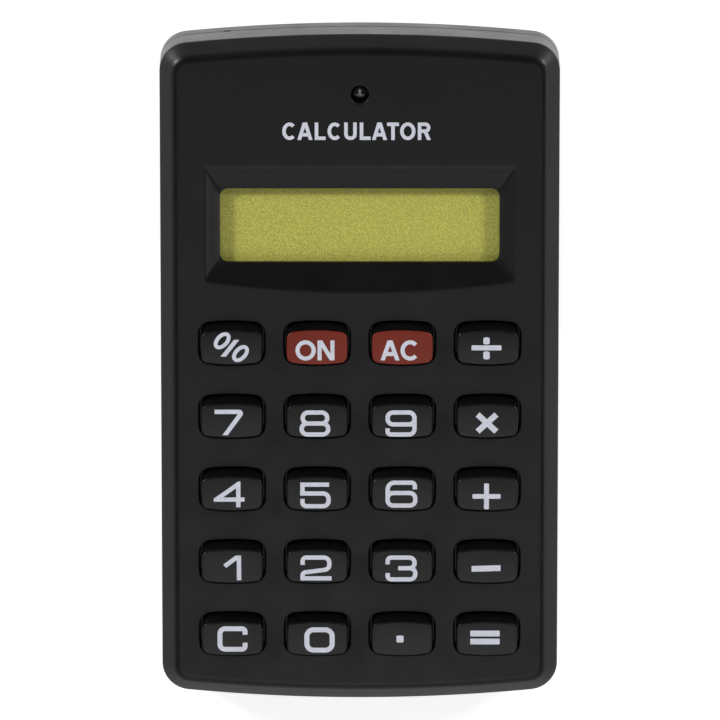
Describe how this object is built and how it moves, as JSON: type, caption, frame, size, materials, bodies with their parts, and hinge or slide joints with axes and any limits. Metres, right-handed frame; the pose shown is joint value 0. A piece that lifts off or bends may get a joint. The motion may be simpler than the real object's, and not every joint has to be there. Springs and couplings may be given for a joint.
{
  "type": "pocket calculator",
  "caption": "Slim two-shell pocket calculator with a sunk display window, sprung push keys and a sliding battery door.",
  "frame": {"origin": "middle of the back face, which is the plane the calculator lies on", "axes": "+Z out of the front face through the keys, +Y along the case toward the display end, +X to the right of a person who reads the keys"},
  "size_m": [0.058, 0.1, 0.0124],
  "materials": {
    "case_plastic": "fine satin moulded ABS",
    "key_black": "satin moulded ABS",
    "key_red": "satin moulded ABS, brick red",
    "key_print": "white screen print",
    "clear_window": "clear acrylic",
    "display_film": "yellow-green film with a fine grain",
    "display_glass": "thin clear glass",
    "tape": "double-sided tape",
    "foam": "closed-cell foam",
    "keypad_rubber": "moulded silicone rubber",
    "board": "paper phenolic board",
    "carbon": "matt black",
    "ceramic": "ceramic",
    "cell_steel": "nickel-plated steel",
    "spring_bronze": "phosphor bronze strip",
    "screw_steel": "blackened steel"
  },
  "bodies": {
    "case": {"front_case": "case_plastic", "back_case": "case_plastic", "display_lens": "clear_window", "lens_adhesive": "tape", "front_polarizer": "display_film", "lcd_upper_glass": "display_glass", "lcd_lower_glass": "display_glass", "rear_reflector": "display_film", "lcd_foam_pad": "foam", "zebra_connector": "keypad_rubber", "circuit_board": "board", "key_contacts": "carbon", "chip_blob": "carbon", "capacitors": "ceramic", "resistor": "carbon", "rubber_keypad": "keypad_rubber", "button_cell": "cell_steel", "battery_contact_positive": "spring_bronze", "battery_contact_negative": "spring_bronze", "case_screw": "screw_steel", "board_screws": "screw_steel"},
    "battery_door": {"battery_door": "case_plastic"},
    "key_percent": {"key_percent": "key_black"},
    "key_on": {"key_on": "key_red"},
    "key_all_clear": {"key_all_clear": "key_red"},
    "key_divide": {"key_divide": "key_black"},
    "key_7": {"key_7": "key_black"},
    "key_8": {"key_8": "key_black"},
    "key_9": {"key_9": "key_black"},
    "key_multiply": {"key_multiply": "key_black"},
    "key_4": {"key_4": "key_black"},
    "key_5": {"key_5": "key_black"},
    "key_6": {"key_6": "key_black"},
    "key_plus": {"key_plus": "key_black"},
    "key_1": {"key_1": "key_black"},
    "key_2": {"key_2": "key_black"},
    "key_3": {"key_3": "key_black"},
    "key_minus": {"key_minus": "key_black"},
    "key_clear": {"key_clear": "key_black"},
    "key_0": {"key_0": "key_black"},
    "key_point": {"key_point": "key_black"},
    "key_equals": {"key_equals": "key_black"}
  },
  "joints": [
    {"name": "press_percent", "type": "slide", "parent": "case", "child": "key_percent", "axis": [0, 0, -1], "range_m": [0, 0.001], "stiffness_N_per_m": 400, "deforming": ["rubber_keypad"]},
    {"name": "press_on", "type": "slide", "parent": "case", "child": "key_on", "axis": [0, 0, -1], "range_m": [0, 0.001], "stiffness_N_per_m": 400, "deforming": ["rubber_keypad"]},
    {"name": "press_all_clear", "type": "slide", "parent": "case", "child": "key_all_clear", "axis": [0, 0, -1], "range_m": [0, 0.001], "stiffness_N_per_m": 400, "deforming": ["rubber_keypad"]},
    {"name": "press_divide", "type": "slide", "parent": "case", "child": "key_divide", "axis": [0, 0, -1], "range_m": [0, 0.001], "stiffness_N_per_m": 400, "deforming": ["rubber_keypad"]},
    {"name": "press_7", "type": "slide", "parent": "case", "child": "key_7", "axis": [0, 0, -1], "range_m": [0, 0.001], "stiffness_N_per_m": 400, "deforming": ["rubber_keypad"]},
    {"name": "press_8", "type": "slide", "parent": "case", "child": "key_8", "axis": [0, 0, -1], "range_m": [0, 0.001], "stiffness_N_per_m": 400, "deforming": ["rubber_keypad"]},
    {"name": "press_9", "type": "slide", "parent": "case", "child": "key_9", "axis": [0, 0, -1], "range_m": [0, 0.001], "stiffness_N_per_m": 400, "deforming": ["rubber_keypad"]},
    {"name": "press_multiply", "type": "slide", "parent": "case", "child": "key_multiply", "axis": [0, 0, -1], "range_m": [0, 0.001], "stiffness_N_per_m": 400, "deforming": ["rubber_keypad"]},
    {"name": "press_4", "type": "slide", "parent": "case", "child": "key_4", "axis": [0, 0, -1], "range_m": [0, 0.001], "stiffness_N_per_m": 400, "deforming": ["rubber_keypad"]},
    {"name": "press_5", "type": "slide", "parent": "case", "child": "key_5", "axis": [0, 0, -1], "range_m": [0, 0.001], "stiffness_N_per_m": 400, "deforming": ["rubber_keypad"]},
    {"name": "press_6", "type": "slide", "parent": "case", "child": "key_6", "axis": [0, 0, -1], "range_m": [0, 0.001], "stiffness_N_per_m": 400, "deforming": ["rubber_keypad"]},
    {"name": "press_plus", "type": "slide", "parent": "case", "child": "key_plus", "axis": [0, 0, -1], "range_m": [0, 0.001], "stiffness_N_per_m": 400, "deforming": ["rubber_keypad"]},
    {"name": "press_1", "type": "slide", "parent": "case", "child": "key_1", "axis": [0, 0, -1], "range_m": [0, 0.001], "stiffness_N_per_m": 400, "deforming": ["rubber_keypad"]},
    {"name": "press_2", "type": "slide", "parent": "case", "child": "key_2", "axis": [0, 0, -1], "range_m": [0, 0.001], "stiffness_N_per_m": 400, "deforming": ["rubber_keypad"]},
    {"name": "press_3", "type": "slide", "parent": "case", "child": "key_3", "axis": [0, 0, -1], "range_m": [0, 0.001], "stiffness_N_per_m": 400, "deforming": ["rubber_keypad"]},
    {"name": "press_minus", "type": "slide", "parent": "case", "child": "key_minus", "axis": [0, 0, -1], "range_m": [0, 0.001], "stiffness_N_per_m": 400, "deforming": ["rubber_keypad"]},
    {"name": "press_clear", "type": "slide", "parent": "case", "child": "key_clear", "axis": [0, 0, -1], "range_m": [0, 0.001], "stiffness_N_per_m": 400, "deforming": ["rubber_keypad"]},
    {"name": "press_0", "type": "slide", "parent": "case", "child": "key_0", "axis": [0, 0, -1], "range_m": [0, 0.001], "stiffness_N_per_m": 400, "deforming": ["rubber_keypad"]},
    {"name": "press_point", "type": "slide", "parent": "case", "child": "key_point", "axis": [0, 0, -1], "range_m": [0, 0.001], "stiffness_N_per_m": 400, "deforming": ["rubber_keypad"]},
    {"name": "press_equals", "type": "slide", "parent": "case", "child": "key_equals", "axis": [0, 0, -1], "range_m": [0, 0.001], "stiffness_N_per_m": 400, "deforming": ["rubber_keypad"]},
    {"name": "door_slide", "type": "slide", "parent": "case", "child": "battery_door", "axis": [0, -1, 0], "range_m": [0, 0.023]}
  ]
}
